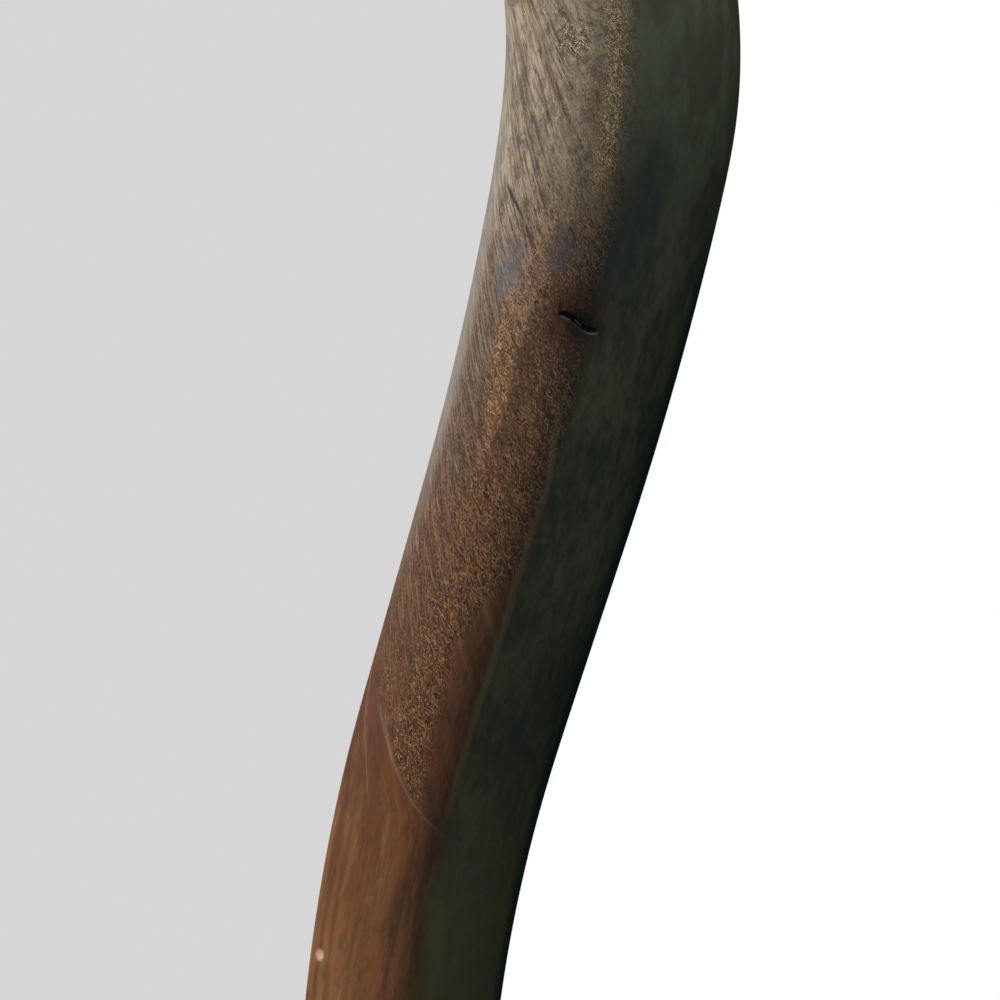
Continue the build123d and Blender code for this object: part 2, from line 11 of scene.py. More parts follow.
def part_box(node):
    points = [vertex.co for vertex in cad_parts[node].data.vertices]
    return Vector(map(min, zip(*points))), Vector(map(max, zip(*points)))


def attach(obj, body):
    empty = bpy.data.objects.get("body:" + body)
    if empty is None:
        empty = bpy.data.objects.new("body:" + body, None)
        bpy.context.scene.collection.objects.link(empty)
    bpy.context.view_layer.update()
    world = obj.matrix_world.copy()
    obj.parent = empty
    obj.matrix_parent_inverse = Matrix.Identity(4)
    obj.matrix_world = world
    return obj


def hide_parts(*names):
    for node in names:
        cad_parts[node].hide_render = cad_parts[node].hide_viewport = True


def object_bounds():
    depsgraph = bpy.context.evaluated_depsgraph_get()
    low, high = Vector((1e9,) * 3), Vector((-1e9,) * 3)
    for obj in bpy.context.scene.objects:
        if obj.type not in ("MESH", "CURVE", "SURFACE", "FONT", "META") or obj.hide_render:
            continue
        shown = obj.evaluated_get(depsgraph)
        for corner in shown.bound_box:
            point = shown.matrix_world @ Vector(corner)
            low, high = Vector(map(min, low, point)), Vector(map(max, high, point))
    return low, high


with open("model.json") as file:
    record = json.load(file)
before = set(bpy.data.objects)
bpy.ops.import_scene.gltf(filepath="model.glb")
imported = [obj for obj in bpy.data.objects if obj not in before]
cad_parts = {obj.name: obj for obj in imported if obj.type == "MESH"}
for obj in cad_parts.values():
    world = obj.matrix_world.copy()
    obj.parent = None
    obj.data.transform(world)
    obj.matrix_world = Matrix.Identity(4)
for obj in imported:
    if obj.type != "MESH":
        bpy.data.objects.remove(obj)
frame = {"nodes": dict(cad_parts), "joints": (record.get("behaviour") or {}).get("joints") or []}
nodes = frame["nodes"]
cad_low, cad_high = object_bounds()

MM = 0.001
leg_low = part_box("leg")[0]
trunk_low, trunk_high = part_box("trunk")
TRUNK_RADIUS = (trunk_high.x - trunk_low.x) / 2


def joint(name):
    return next(j for j in frame["joints"] if j["name"] == name)


def srgb(red, green, blue):
    """A colour given as 0-255 display values, as linear light."""
    def linear(value):
        value /= 255
        return value / 12.92 if value <= 0.04045 else ((value + 0.055) / 1.055) ** 2.4
    return (linear(red), linear(green), linear(blue), 1.0)


def new_object(name, data):
    """An object in the scene, at the origin."""
    made = bpy.data.objects.new(name, data)
    bpy.context.scene.collection.objects.link(made)
    return made


# --- shader building -------------------------------------------------------------------
class Nodes:
    """Short calls that add shader nodes to one node tree and return their output sockets."""

    def __init__(self, tree):
        self.tree = tree

    def put(self, socket, value):
        if isinstance(value, bpy.types.NodeSocket):
            self.tree.links.new(value, socket)
        elif isinstance(value, (int, float)) and socket.type in ("VECTOR", "RGBA"):
            socket.default_value = (value,) * len(socket.default_value)
        else:
            socket.default_value = value

    def node(self, kind, inputs=(), **settings):
        made = self.tree.nodes.new("ShaderNode" + kind)
        for key, value in settings.items():
            setattr(made, key, value)
        for key, value in dict(inputs).items():
            self.put(made.inputs[key], value)
        return made

    def attribute(self, name, kind="Vector"):
        return self.node("Attribute", attribute_name=name).outputs[kind]

    def math(self, operation, a, b=0.0):
        return self.node("Math", {0: a, 1: b}, operation=operation).outputs[0]

    def vector(self, operation, a, b=(0, 0, 0)):
        made = self.node("VectorMath", {0: a, 1: b}, operation=operation)
        return made.outputs["Value" if operation == "LENGTH" else 0]

    def split(self, vector):
        return self.node("SeparateXYZ", {0: vector}).outputs

    def join(self, x, y, z):
        return self.node("CombineXYZ", {0: x, 1: y, 2: z}).outputs[0]

    def noise(self, vector, scale, detail=2.0, rough=0.5, distortion=0.0):
        """Noise at a feature size; scale is a number or one for each axis, in features per metre."""
        if not isinstance(scale, (int, float)):
            vector, scale = self.vector("MULTIPLY", vector, scale), 1.0
        inputs = {"Vector": vector, "Scale": scale, "Detail": detail, "Roughness": rough}
        made = self.node("TexNoise", inputs)
        made.inputs["Distortion"].default_value = distortion
        return made.outputs["Fac"]

    def step(self, value, low, high, bottom=0.0, top=1.0):
        """Smooth step from bottom to top as value goes from low to high."""
        inputs = {"Value": value, "From Min": low, "From Max": high, "To Min": bottom, "To Max": top}
        made = self.node("MapRange", inputs, interpolation_type="SMOOTHSTEP")
        return made.outputs["Result"]

    def ramp(self, value, *stops):
        made = self.node("ValToRGB", {0: value})
        band = made.color_ramp
        band.elements[0].position, band.elements[0].color = stops[0]
        band.elements[1].position, band.elements[1].color = stops[-1]
        for place, colour in stops[1:-1]:
            band.elements.new(place).color = colour
        return made.outputs[0]

    def mix(self, factor, a, b, blend="MIX"):
        made = self.node("Mix", data_type="RGBA", blend_type=blend)
        self.put(made.inputs[0], factor)
        self.put(made.inputs[6], a)
        self.put(made.inputs[7], b)
        return made.outputs[2]

    def bump(self, height, distance, strength=1.0, normal=None):
        inputs = {"Height": height, "Distance": distance, "Strength": strength}
        if normal is not None:
            inputs["Normal"] = normal
        return self.node("Bump", inputs).outputs[0]

    def product(self, *factors):
        result = factors[0]
        for factor in factors[1:]:
            result = self.math("MULTIPLY", result, factor)
        return result

    def total(self, *terms):
        result = terms[0]
        for term in terms[1:]:
            result = self.math("ADD", result, term)
        return result

    def off(self, value, centre):
        return self.math("SUBTRACT", value, centre)

    def size(self, value):
        return self.math("ABSOLUTE", value)


class Shader(Nodes):
    """A material with one Principled shader."""

    def __init__(self, name, **settings):
        self.material = bpy.data.materials.new(name)
        self.material.use_nodes = True
        super().__init__(self.material.node_tree)
        self.principled = self.tree.nodes["Principled BSDF"]
        for key, value in settings.items():
            self.principled.inputs[key.replace("_", " ").title().replace("Ior", "IOR")].default_value = value

    def finish(self, colour, roughness, normal=None):
        self.put(self.principled.inputs["Base Color"], colour)
        self.put(self.principled.inputs["Roughness"], roughness)
        if normal is not None:
            self.put(self.principled.inputs["Normal"], normal)
            self.put(self.principled.inputs["Coat Normal"], normal)
        return self.material


# --- the leg's axis, read from its CAD solid -------------------------------------------
STATION_STEP = 2 * MM
FOOT_GAP = 10 * MM          # first station above the sole
HEADING_SPAN = 6            # stations over which the direction of the axis is read
END_SPAN = 8                # the two ends take the direction of the station this far in
FLANK = Vector((-1, 0, 0))  # out of the left side of the leg; left is -X, as in the names of the pieces


class Limb:
    """The bent leg as stations up its axis: centre, direction and radius, read by casting rays."""

    def __init__(self, node, rays=48, thigh_gap=30 * MM):
        mesh = nodes[node].data
        tree = BVHTree.FromPolygons([v.co for v in mesh.vertices], [p.vertices for p in mesh.polygons])
        sole = [v.co for v in mesh.vertices if v.co.z < leg_low.z + 0.1 * MM]
        heading = Vector((0, 0, 1))
        centre = sum(sole, Vector()) / len(sole) + heading * FOOT_GAP
        self.centres, self.radii = [], []
        while centre.y + thigh_gap < trunk_low.y:
            for _ in range(2):
                side = heading.cross(FLANK).normalized()
                hits = []
                for index in range(rays):
                    angle = 2 * math.pi * index / rays
                    hits.append(tree.ray_cast(centre, FLANK * math.cos(angle) + side * math.sin(angle))[0])
                centre = sum(hits, Vector()) / rays
            self.centres.append(centre)
            self.radii.append(sum((hit - centre).length for hit in hits) / rays)
            if len(self.centres) > HEADING_SPAN:
                heading = (self.centres[-1] - self.centres[-1 - HEADING_SPAN]).normalized()
            centre = centre + heading * STATION_STEP
        self.centres = self.smoothed(self.centres)
        self.radii = self.smoothed(self.radii)
        last = len(self.centres) - 1
        self.headings = [(self.centres[min(i + 1, last)] - self.centres[max(i - 1, 0)]).normalized()
                         for i in range(last + 1)]
        for i in (0, last):
            self.headings[i] = self.headings[min(max(i, END_SPAN), last - END_SPAN)]

    @staticmethod
    def smoothed(values, reach=5):
        last = len(values) - 1
        result = []
        for i in range(last + 1):
            span = min(reach, i, last - i)
            near = values[i - span:i + span + 1]
            result.append(sum(near[1:], near[0]) / len(near))
        return result


limb = Limb("leg")

# Places on the leg: distance up from the sole, and offset across its left flank towards the front.
KNOT_UP, KNOT_ACROSS = 276.5 * MM, 0.3 * MM
HAIR_CRACK_UP, HAIR_CRACK_ACROSS = 311.5 * MM, -28.5 * MM
NICK_UP, NICK_ACROSS = 62.5 * MM, -28.5 * MM
ARC_FOOT, ARC_ACROSS = 107 * MM, 10.5 * MM   # lowest point of the pale arc that ends the pores
ARC_SPREAD = 0.201                           # its width grows with the square root of the height above that


def crack_line(across):
    """Height of the knot's S-shaped split above the knot centre, at an offset across the flank."""
    return -0.16 * across - 0.8 * MM * math.sin(across / (2.4 * MM))


def crack_depth(across, up):
    """How far the split opens the surface, 0 to 1."""
    ends = max(0.0, 1 - (across / (6.8 * MM)) ** 2)
    half_width = (0.3 + 0.6 * ends) * MM
    distance = (up - crack_line(across)) / half_width
    return ends ** 0.5 * math.exp(-distance ** 2)


def nick_depth(across, up):
    distance = (across / (1.1 * MM)) ** 2 + ((up - 0.4 * across) / (1.7 * MM)) ** 2
    return math.exp(-distance)


# --- the leg's mesh --------------------------------------------------------------------
AROUND = 192                # points round each ring of the skin
SOLE_ROUND = 7 * MM         # radius round the edge of the sole
TENON_HALF = 22.5 * MM      # half the thickness of the square tenon
TENON_BEVEL = 3 * MM        # at the tenon's rear end
COPE_GAP = 0.5 * MM         # between the pushed-in shoulder and the trunk
SHOULDER_UP = 20 * MM       # counted as the distance up the limb from its last station to the shoulder
CRACK_DEPTH, NICK_DEPTH, HOLLOW_DEPTH = 1.5 * MM, 0.7 * MM, 0.3 * MM
leg_slide = Vector(joint("leg_play")["axis"])
leg_play = joint("leg_play")["range_m"][1]


def cope_distance(point):
    """How far point goes along the leg's slide before it meets the coped shoulder."""
    centre_y = -leg_play * leg_slide.y
    x, y = point.x, point.y - centre_y
    radius = TRUNK_RADIUS + COPE_GAP
    a = leg_slide.y ** 2
    b = 2 * y * leg_slide.y
    c = x * x + y * y - radius * radius
    return (-b - math.sqrt(b * b - 4 * a * c)) / (2 * a)


def square_radius(half, angle):
    return half / max(abs(math.cos(angle)), abs(math.sin(angle)))


class LegSkin:
    """Rings of points up the leg: sole, shin, knee, thigh, coped shoulder and square tenon."""

    def __init__(self):
        self.bm = bmesh.new()
        self.place = self.bm.verts.layers.float_vector.new("limb")
        self.split = self.bm.verts.layers.float.new("split")
        self.angles = [2 * math.pi * j / AROUND for j in range(AROUND)]
        self.thigh = leg_slide.cross(FLANK).normalized()
        self.rings = []
        self.top, self.top_radius = limb.centres[-1], limb.radii[-1]
        self.top_up = FOOT_GAP + (len(limb.centres) - 1) * STATION_STEP

    def ring(self, points, up, radius):
        """Adds a ring, and keeps its straightened place on each point for the material."""
        made = []
        for angle, point in zip(self.angles, points):
            vert = self.bm.verts.new(point)
            vert[self.place] = (radius * math.cos(angle), radius * math.sin(angle), up)
            made.append(vert)
        self.rings.append(made)

    def circle(self, centre, heading, radius):
        side = heading.cross(FLANK).normalized()
        return [centre + (FLANK * math.cos(a) + side * math.sin(a)) * radius for a in self.angles]

    def section(self, centre, radii):
        """A cross-section of the tenon or shoulder, square to the leg's slide."""
        return [centre + (FLANK * math.cos(a) + self.thigh * math.sin(a)) * radius
                for a, radius in zip(self.angles, radii)]

    def square(self, half):
        return [square_radius(half, angle) for angle in self.angles]

    def sole(self):
        base, down, base_radius = limb.centres[0], limb.headings[0], limb.radii[0]
        for share in (0.02, 0.2, 0.5, 0.8, 0.97):
            radius = (base_radius - SOLE_ROUND) * share
            self.ring(self.circle(base - down * FOOT_GAP, down, radius), 0, radius)
        for turn in range(0, 91, 10):
            inset = SOLE_ROUND * (1 - math.sin(math.radians(turn)))
            rise = SOLE_ROUND * (1 - math.cos(math.radians(turn)))
            radius = base_radius - inset
            self.ring(self.circle(base - down * (FOOT_GAP - rise), down, radius), rise, radius)

    def shin_and_knee(self):
        for index, (centre, heading, radius) in enumerate(zip(limb.centres, limb.headings, limb.radii)):
            up = FOOT_GAP + index * STATION_STEP
            self.ring(self.circle(centre, heading, radius), up, radius)

    def shoulder(self, steps=8):
        """The thigh runs on to the coped shoulder, then steps in to the tenon."""
        round_end = self.circle(self.top, leg_slide, self.top_radius)
        for share in range(1, steps + 1):
            points = [p + leg_slide * cope_distance(p) * share / steps for p in round_end]
            self.ring(points, self.top_up + SHOULDER_UP * share / steps, self.top_radius)
        for share in (0.94, 0.7, 0.4, 0):
            radii = [half * (1 - share) + self.top_radius * share for half in self.square(TENON_HALF)]
            points = [p + leg_slide * cope_distance(p) for p in self.section(self.top, radii)]
            self.ring(points, self.top_up + SHOULDER_UP, TENON_HALF)

    def tenon(self, steps=12):
        rear = max(v.co.y for v in nodes["leg"].data.vertices)
        rise = abs(self.thigh.y)
        end = (rear - self.top.y + (TENON_HALF - TENON_BEVEL) * rise) / leg_slide.y
        base = self.section(self.top, self.square(TENON_HALF))
        starts = [cope_distance(p) for p in base]
        for share in range(1, steps + 1):
            points = [p + leg_slide * (start + (end - TENON_BEVEL - start) * share / steps)
                      for p, start in zip(base, starts)]
            self.ring(points, self.top_up + SHOULDER_UP * (2 + share), TENON_HALF)
        for share in (1, 0.6, 0.25, 0.02):
            half = (TENON_HALF - TENON_BEVEL) * share
            points = self.section(self.top + leg_slide * end, self.square(half))
            self.ring(points, self.top_up + SHOULDER_UP * (3 + steps), half)

    def faces(self):
        for lower, upper in zip(self.rings, self.rings[1:]):
            for j in range(AROUND):
                k = (j + 1) % AROUND
                self.bm.faces.new((lower[j], lower[k], upper[k], upper[j]))
        self.bm.faces.new(self.rings[0][::-1])
        self.bm.faces.new(self.rings[-1])


def make_leg():
    """A fine skin over the leg's CAD solid."""
    skin = LegSkin()
    skin.sole()
    skin.shin_and_knee()
    skin.shoulder()
    skin.tenon()
    skin.faces()
    add_flaws(skin.bm, skin.place, skin.split)
    skin.bm.normal_update()
    mesh = bpy.data.meshes.new("leg_skin")
    skin.bm.to_mesh(mesh)
    skin.bm.free()
    mesh.polygons.foreach_set("use_smooth", [True] * len(mesh.polygons))
    return new_object("leg_skin", mesh)


def near(vert, place, across, up, reach):
    at = vert[place]
    return at.x > 0 and abs(at.y - across) < reach and abs(at.z - up) < reach


def add_flaws(bm, place, split):
    """Refine the skin around the knot and the nick, then press both in."""
    for across, up, reach in ((KNOT_ACROSS, KNOT_UP, 10 * MM), (NICK_ACROSS, NICK_UP, 5 * MM)):
        for _ in range(2):
            edges = [e for e in bm.edges if all(near(v, place, across, up, reach) for v in e.verts)]
            bmesh.ops.subdivide_edges(bm, edges=edges, cuts=1, use_grid_fill=True)
    bm.normal_update()
    for vert in bm.verts:
        at = vert[place]
        if at.x <= 0:
            continue
        if near(vert, place, KNOT_ACROSS, KNOT_UP, 11 * MM):
            depth = crack_depth(at.y - KNOT_ACROSS, at.z - KNOT_UP)
            vert[split] = depth
            hollow = math.exp(-((at.y - KNOT_ACROSS) ** 2 + (at.z - KNOT_UP) ** 2) / (6 * MM) ** 2)
            vert.co -= vert.normal * (CRACK_DEPTH * depth + HOLLOW_DEPTH * hollow)
        elif near(vert, place, NICK_ACROSS, NICK_UP, 6 * MM):
            vert.co -= vert.normal * NICK_DEPTH * nick_depth(at.y - NICK_ACROSS, at.z - NICK_UP)


# --- the leg's colours -----------------------------------------------------------------
WALNUT_UP = (               # stain on the lit flank, by distance up from the sole; its pale grey stops near the knee are partly painted sheen
    (0.06, (0.172, 0.074, 0.030, 1)),
    (0.10, (0.144, 0.053, 0.021, 1)),
    (0.20, (0.190, 0.073, 0.029, 1)),
    (0.25, (0.136, 0.068, 0.036, 1)),
    (0.285, (0.125, 0.090, 0.067, 1)),
    (0.31, (0.160, 0.130, 0.105, 1)),
    (0.345, (0.225, 0.170, 0.118, 1)),
    (0.38, (0.380, 0.305, 0.220, 1)),
    (0.46, (0.120, 0.058, 0.032, 1)),
)
RAMP_TOP = 0.5              # distance up at the end of that ramp
SLANT_FROM = 0.11           # distance up from which the fibres lean more and more
GIRTH_RADIUS = 34 * MM      # about the limb's own, for distances round it

CALF_BROWN = (0.064, 0.034, 0.024, 1)
TENON_BROWN = (0.130, 0.068, 0.038, 1)
ANKLE_RED = (0.330, 0.125, 0.060, 1)
ANKLE_GOLD = (0.200, 0.098, 0.040, 1)
# painted sheen up the rear of the knee in a pale tan and a grey tan, then a painted highlight for the rear
# rim
PALE_SHEEN_TAN = (0.480, 0.395, 0.295, 1)
GREY_SHEEN_TAN = (0.270, 0.230, 0.200, 1)
RIM_HIGHLIGHT = (0.300, 0.290, 0.260, 1)
SLATE = (0.060, 0.063, 0.070, 1)
# a painted sheen colour
BLUE_SHEEN = (0.140, 0.165, 0.195, 1)
INK = (0.018, 0.022, 0.030, 1)

# colours of the shaded front: part the wood's tone, part a painted greenish shade tint; the knee's is painted
# light, the edge's painted shade
OLIVE = (0.185, 0.146, 0.078, 1)
OLIVE_DARK = (0.105, 0.090, 0.056, 1)
OLIVE_KNEE_LIGHT = (0.222, 0.225, 0.138, 1)
OLIVE_WARM = (0.250, 0.180, 0.066, 1)
OLIVE_FLECK_AND_TERMINATOR_LIGHT = (0.270, 0.195, 0.105, 1)
TEAL = (0.030, 0.044, 0.038, 1)
EDGE_SHADE_TEAL = (0.009, 0.034, 0.033, 1)

DARK_FIBRE = (0.040, 0.036, 0.036, 1)
GOLD_FIBRE = (0.370, 0.255, 0.145, 1)
GOLD_FLECK = (0.400, 0.215, 0.100, 1)
PALE_GOLD = (0.560, 0.430, 0.270, 1)
GILT = (0.290, 0.185, 0.090, 1)
DARK_PORE = (0.035, 0.020, 0.014, 1)

KNOT_RED = (0.060, 0.022, 0.014, 1)
SPLIT_BLACK = (0.004, 0.004, 0.005, 1)
# a painted glint for the split, then a painted highlight for the nick
SPLIT_GLINT = (0.300, 0.360, 0.380, 1)
NICK_HIGHLIGHT = (0.550, 0.360, 0.310, 1)
PALE_ARC = (0.300, 0.200, 0.150, 1)


class LegWalnut(Shader):
    """Dark stained walnut, in the leg's straightened space.

    x and across lie square to the limb: x is positive on the left flank, and across is positive
    towards the front. up is the distance from the sole. turn is across as a share of the radius,
    from -1 at the rear edge to 1 at the front edge. Each method lays its colours over the last.
    """

    def __init__(self):
        super().__init__("leg_walnut", roughness=0.45, specular_ior_level=0.4, coat_weight=0.05,
                         coat_roughness=0.3)
        self.at = self.attribute("limb")
        self.x, self.across, self.up = self.split(self.at)
        radius = self.vector("LENGTH", self.join(self.x, self.across, 0.0))
        self.turn = self.math("DIVIDE", self.across, radius)
        self.flank = self.step(self.x, -4 * MM, 4 * MM)
        self.wander = self.off(self.noise(self.at, (60, 60, 30), 4, 0.6), 0.5)
        self.front = self.step(self.total(self.turn, self.product(self.wander, 0.15)), 0.02, 0.22)
        self.fibre = self.fibre_space()
        self.streak = self.noise(self.fibre, (950, 950, 85), 2.5, 0.55)

    # Short calls.

    def paint(self, mask, stain, strength=None):
        """Lays a stain over the colour so far, where the mask is 1."""
        amount = mask if strength is None else self.product(mask, strength)
        self.colour = self.mix(amount, self.colour, stain)

    def rise(self, low, high, bottom=0.0, top=1.0):
        """A smooth step up the limb."""
        return self.step(self.up, low, high, bottom, top)

    def swing(self, low, high, bottom=0.0, top=1.0):
        """A smooth step round the limb."""
        return self.step(self.turn, low, high, bottom, top)

    def waver(self, amount):
        return self.product(self.wander, amount)

    def spot(self, centre_across, centre_up, half_across, half_up, ragged=0.0):
        """A soft-edged oval patch on the left flank, 1 in its middle."""
        offset = self.join(self.math("DIVIDE", self.off(self.across, centre_across), half_across),
                           self.math("DIVIDE", self.off(self.up, centre_up), half_up), 0.0)
        away = self.vector("LENGTH", offset)
        if ragged:
            away = self.total(away, self.waver(ragged))
        return self.product(self.step(away, 1.25, 0.35), self.flank)

    def stripe(self, centre, half_width, ragged=0.0):
        """A soft-edged lengthwise stripe on the left flank at an offset across it."""
        distance = self.math("DIVIDE", self.size(self.off(self.across, centre)), half_width)
        if ragged:
            distance = self.total(distance, self.waver(ragged))
        return self.product(self.step(distance, 1.3, 0.35), self.flank)

    def fibre_space(self):
        """The fibres run straight up the ankle and cross the limb at a slant above the pale arc."""
        lift = self.math("MAXIMUM", self.off(self.up, SLANT_FROM), 0.0)
        slant = self.total(self.rise(0.10, 0.34, 0.0, 0.05), self.product(lift, 0.42))
        drift = self.product(self.noise(self.at, (30, 30, 16), 2), 6 * MM)
        girth = self.product(self.math("ARCSINE", self.product(self.turn, 0.9999)), GIRTH_RADIUS)
        return self.join(self.math("MINIMUM", self.x, 0.0), self.total(girth, slant, drift), self.up)

    # Stain.

    def base_stain(self):
        """The lit flank's brown by height; darker on the calf towards its rear edge, which is painted shade
        where the light falls off; paler and greyer up the rear, which is painted sheen.
        """
        height = self.math("DIVIDE", self.total(self.up, self.waver(0.05)), RAMP_TOP)
        self.colour = self.ramp(height, *((place / RAMP_TOP, stain) for place, stain in WALNUT_UP))
        # painted shade: the calf darkens towards its rear edge, where the light falls off
        calf = self.product(self.swing(-0.45, -0.75), self.rise(0.08, 0.13), self.rise(0.33, 0.27))
        self.paint(calf, CALF_BROWN, 0.6)
        # painted sheen: paler, cooler tan up the rear of the knee
        pale = self.product(self.swing(-0.2, -0.5), self.rise(0.255, 0.315), self.rise(0.44, 0.39))
        self.paint(pale, PALE_SHEEN_TAN, 0.68)
        # painted sheen: a cool grey haze over the rear of the flank
        rear_sheen = self.product(self.swing(-0.5, -0.8), self.rise(0.19, 0.25), self.rise(0.33, 0.28))
        self.paint(rear_sheen, GREY_SHEEN_TAN, 0.4)
        ankle = self.product(self.swing(-0.5, -0.2), self.swing(0.16, 0.0), self.rise(0.17, 0.07))
        self.paint(ankle, ANKLE_RED, 0.6)
        patch = self.step(self.noise(self.at, (110, 110, 45), 3, 0.6), 0.47, 0.62)
        self.paint(self.product(patch, self.rise(0.17, 0.10)), ANKLE_GOLD, 0.45)

    def broad_grain(self):
        broad = self.noise(self.fibre, (150, 150, 16), 5, 0.65)
        self.paint(self.step(broad, 0.52, 0.34, 0.0, 0.6), CALF_BROWN)
        self.paint(self.step(broad, 0.54, 0.70, 0.0, 0.3), GOLD_FIBRE)
        mottle = self.noise(self.at, (230, 230, 110), 5, 0.7)
        self.paint(self.product(self.step(mottle, 0.52, 0.36), self.rise(0.30, 0.35, 0.45, 0.35)), CALF_BROWN)

    def shade_tinted_front(self):
        """The front, the shaded side, is olive, part the wood's own tone and part a painted greenish shade
        tint, with darker tufts, lighter and greener at the knee as painted light, warmer at the ankle, and it
        turns brown round the right flank."""
        moss = self.noise(self.at, (70, 70, 32), 4, 0.62)
        moss_patch = self.step(moss, 0.4, 0.6)
        tufts = self.noise(self.at, (300, 300, 120), 4, 0.65)
        olive = self.mix(self.step(moss, 0.42, 0.60), OLIVE_DARK, OLIVE)
        olive = self.mix(self.step(tufts, 0.53, 0.40, 0.0, 0.4), olive, TEAL)
        olive = self.mix(self.step(tufts, 0.54, 0.66, 0.0, 0.3), olive, OLIVE_FLECK_AND_TERMINATOR_LIGHT)
        # painted light: the front lightens and greens at the knee, where it faces up
        olive = self.mix(self.rise(0.27, 0.38, 0.0, 0.75), olive, self.mix(moss_patch, OLIVE, OLIVE_KNEE_LIGHT))
        olive = self.mix(self.rise(0.15, 0.08, 0.0, 0.55), olive, OLIVE_WARM)
        brown = self.mix(moss_patch, CALF_BROWN, TENON_BROWN)
        olive = self.mix(self.step(self.x, 4 * MM, -16 * MM, 0.0, 0.85), olive, brown)
        # the front is laid on as the shaded side's colour, partly a painted shade tint
        self.paint(self.front, olive)

    def slate_clouds(self):
        """Slate-grey patches above the knot and fine slate blotches over the knee."""
        self.paint(self.spot(8 * MM, 0.298, 8 * MM, 18 * MM, 0.8), SLATE, 0.55)
        self.paint(self.spot(14 * MM, 0.323, 8 * MM, 20 * MM, 0.8), SLATE, 0.5)
        self.paint(self.spot(-10 * MM, 0.298, 6 * MM, 9 * MM, 1.0), SLATE, 0.8)
        blotch = self.step(self.noise(self.at, (150, 150, 90), 5, 0.7, 0.6), 0.49, 0.58)
        blotch = self.product(blotch, self.rise(0.27, 0.31), self.step(self.front, 1.0, 0.0))
        self.paint(blotch, SLATE, 0.5)

    # Fibres and pores.

    def fibre_streaks(self):
        """Fine streaks, strongest towards the rear where the grain surfaces at a slant."""
        rear = self.swing(-0.25, -0.55, 0.25, 1.0)
        self.lined = self.product(self.rise(0.13, 0.20, 0.05, 1.0), rear,
                                  self.step(self.front, 1.0, 0.0, 0.25, 1.0))
        dark_line = self.product(self.step(self.streak, 0.495, 0.435), self.lined,
                                 self.rise(0.32, 0.30, 0.5, 1.0))
        light_line = self.product(self.step(self.streak, 0.53, 0.64), self.lined)
        ray = self.size(self.off(self.noise(self.fibre, (420, 420, 22), 2, 0.55), 0.5))
        ray = self.product(self.step(ray, 0.03, 0.01), self.lined, self.swing(-0.3, -0.55))
        self.paint(dark_line, DARK_FIBRE, 0.82)
        self.paint(light_line, GOLD_FIBRE, 0.45)
        self.paint(ray, DARK_FIBRE, 0.7)
        # painted sheen: a cool blue reflection patch on the rear of the flank
        self.paint(self.spot(-24 * MM, 0.288, 7 * MM, 12 * MM, 1.2), BLUE_SHEEN, 0.6)

    def pore_field(self):
        """Where pores lie open: above the pale arc, and behind a border that nears the front higher up.

        Keeps the distances past the arc and past the border, which later methods need."""
        root = self.math("SQRT", self.math("MAXIMUM", self.off(self.up, ARC_FOOT), 0.0))
        self.arc = self.total(self.off(self.across, ARC_ACROSS), self.product(root, ARC_SPREAD))
        border = self.total(self.product(self.up, -0.05), 1.5 * MM, self.rise(0.16, 0.24, -2 * MM, 0.03))
        self.past_border = self.off(self.across, border)
        return self.product(self.step(self.arc, -0.5 * MM, 2.5 * MM),
                            self.step(self.past_border, 4 * MM, -3 * MM), self.flank,
                            self.swing(-0.72, -0.45, 0.45, 1.0), self.step(self.front, 0.9, 0.2),
                            self.rise(0.335, 0.285, 0.35, 1.0))

    def gold_band(self):
        """A gilded band up the rear of the flank, crisp on its front side, and the shade in front of it."""
        centre = self.rise(0.272, 0.31, -21 * MM, -14 * MM)
        from_centre = self.total(self.off(self.across, centre), self.waver(6 * MM))
        rear_edge = self.rise(0.225, 0.265, 1.5 * MM, -4 * MM)
        band = self.product(self.step(self.off(from_centre, rear_edge), -2 * MM, 1.5 * MM),
                            self.step(from_centre, 5.5 * MM, 4.3 * MM), self.flank,
                            self.rise(0.205, 0.24), self.rise(0.318, 0.30))
        beside = self.product(self.step(from_centre, 4 * MM, 5.5 * MM),
                              self.step(from_centre, 14 * MM, 8 * MM), self.flank,
                              self.rise(0.215, 0.24), self.rise(0.285, 0.265))
        return band, beside

    def open_pores(self):
        """A fine tangle of golden hairs over dark pits."""
        porous = self.pore_field()
        band, beside = self.gold_band()
        wavy = self.product(self.stripe(-2.5 * MM, 4.5 * MM, 1.6), self.rise(0.30, 0.33))
        gilt = self.math("MAXIMUM", self.math("MAXIMUM", band, wavy),
                         self.spot(-16 * MM, 0.368, 6 * MM, 9 * MM, 1.4))
        self.field = self.math("MAXIMUM", porous, gilt)
        hair = self.size(self.off(self.noise(self.fibre, (640, 640, 400), 1.5, 0.5, 1.4), 0.5))
        self.thread = self.step(hair, 0.042, 0.012)
        self.pit = self.step(self.noise(self.fibre, (800, 800, 420), 2, 0.6, 0.8), 0.48, 0.38)
        self.paint(self.product(self.field, self.step(gilt, 0.0, 0.6, 0.55, 0.42)), CALF_BROWN)
        self.paint(self.product(self.pit, self.field), DARK_PORE, 0.92)
        self.paint(wavy, GILT, 0.45)
        self.paint(band, GILT, 0.1)
        gold = self.product(self.thread, self.field, self.total(self.product(gilt, 0.25), 0.72))
        self.paint(gold, self.mix(self.rise(0.30, 0.34), GOLD_FLECK, PALE_GOLD))
        self.paint(beside, CALF_BROWN, 0.4)
        self.paint(self.spot(-10.5 * MM, 0.298, 5 * MM, 8 * MM, 1.3), SLATE, 0.6)

    def planed_band(self):
        """In front of the pores the lower flank is planed smooth, a plain brown that ends at the pale arc."""
        smooth = self.product(self.step(self.past_border, -1 * MM, 2 * MM), self.rise(0.205, 0.18),
                              self.step(self.arc, 0.0, 3 * MM), self.flank)
        self.paint(smooth, CALF_BROWN, 0.2)

    # Flaws and edges.

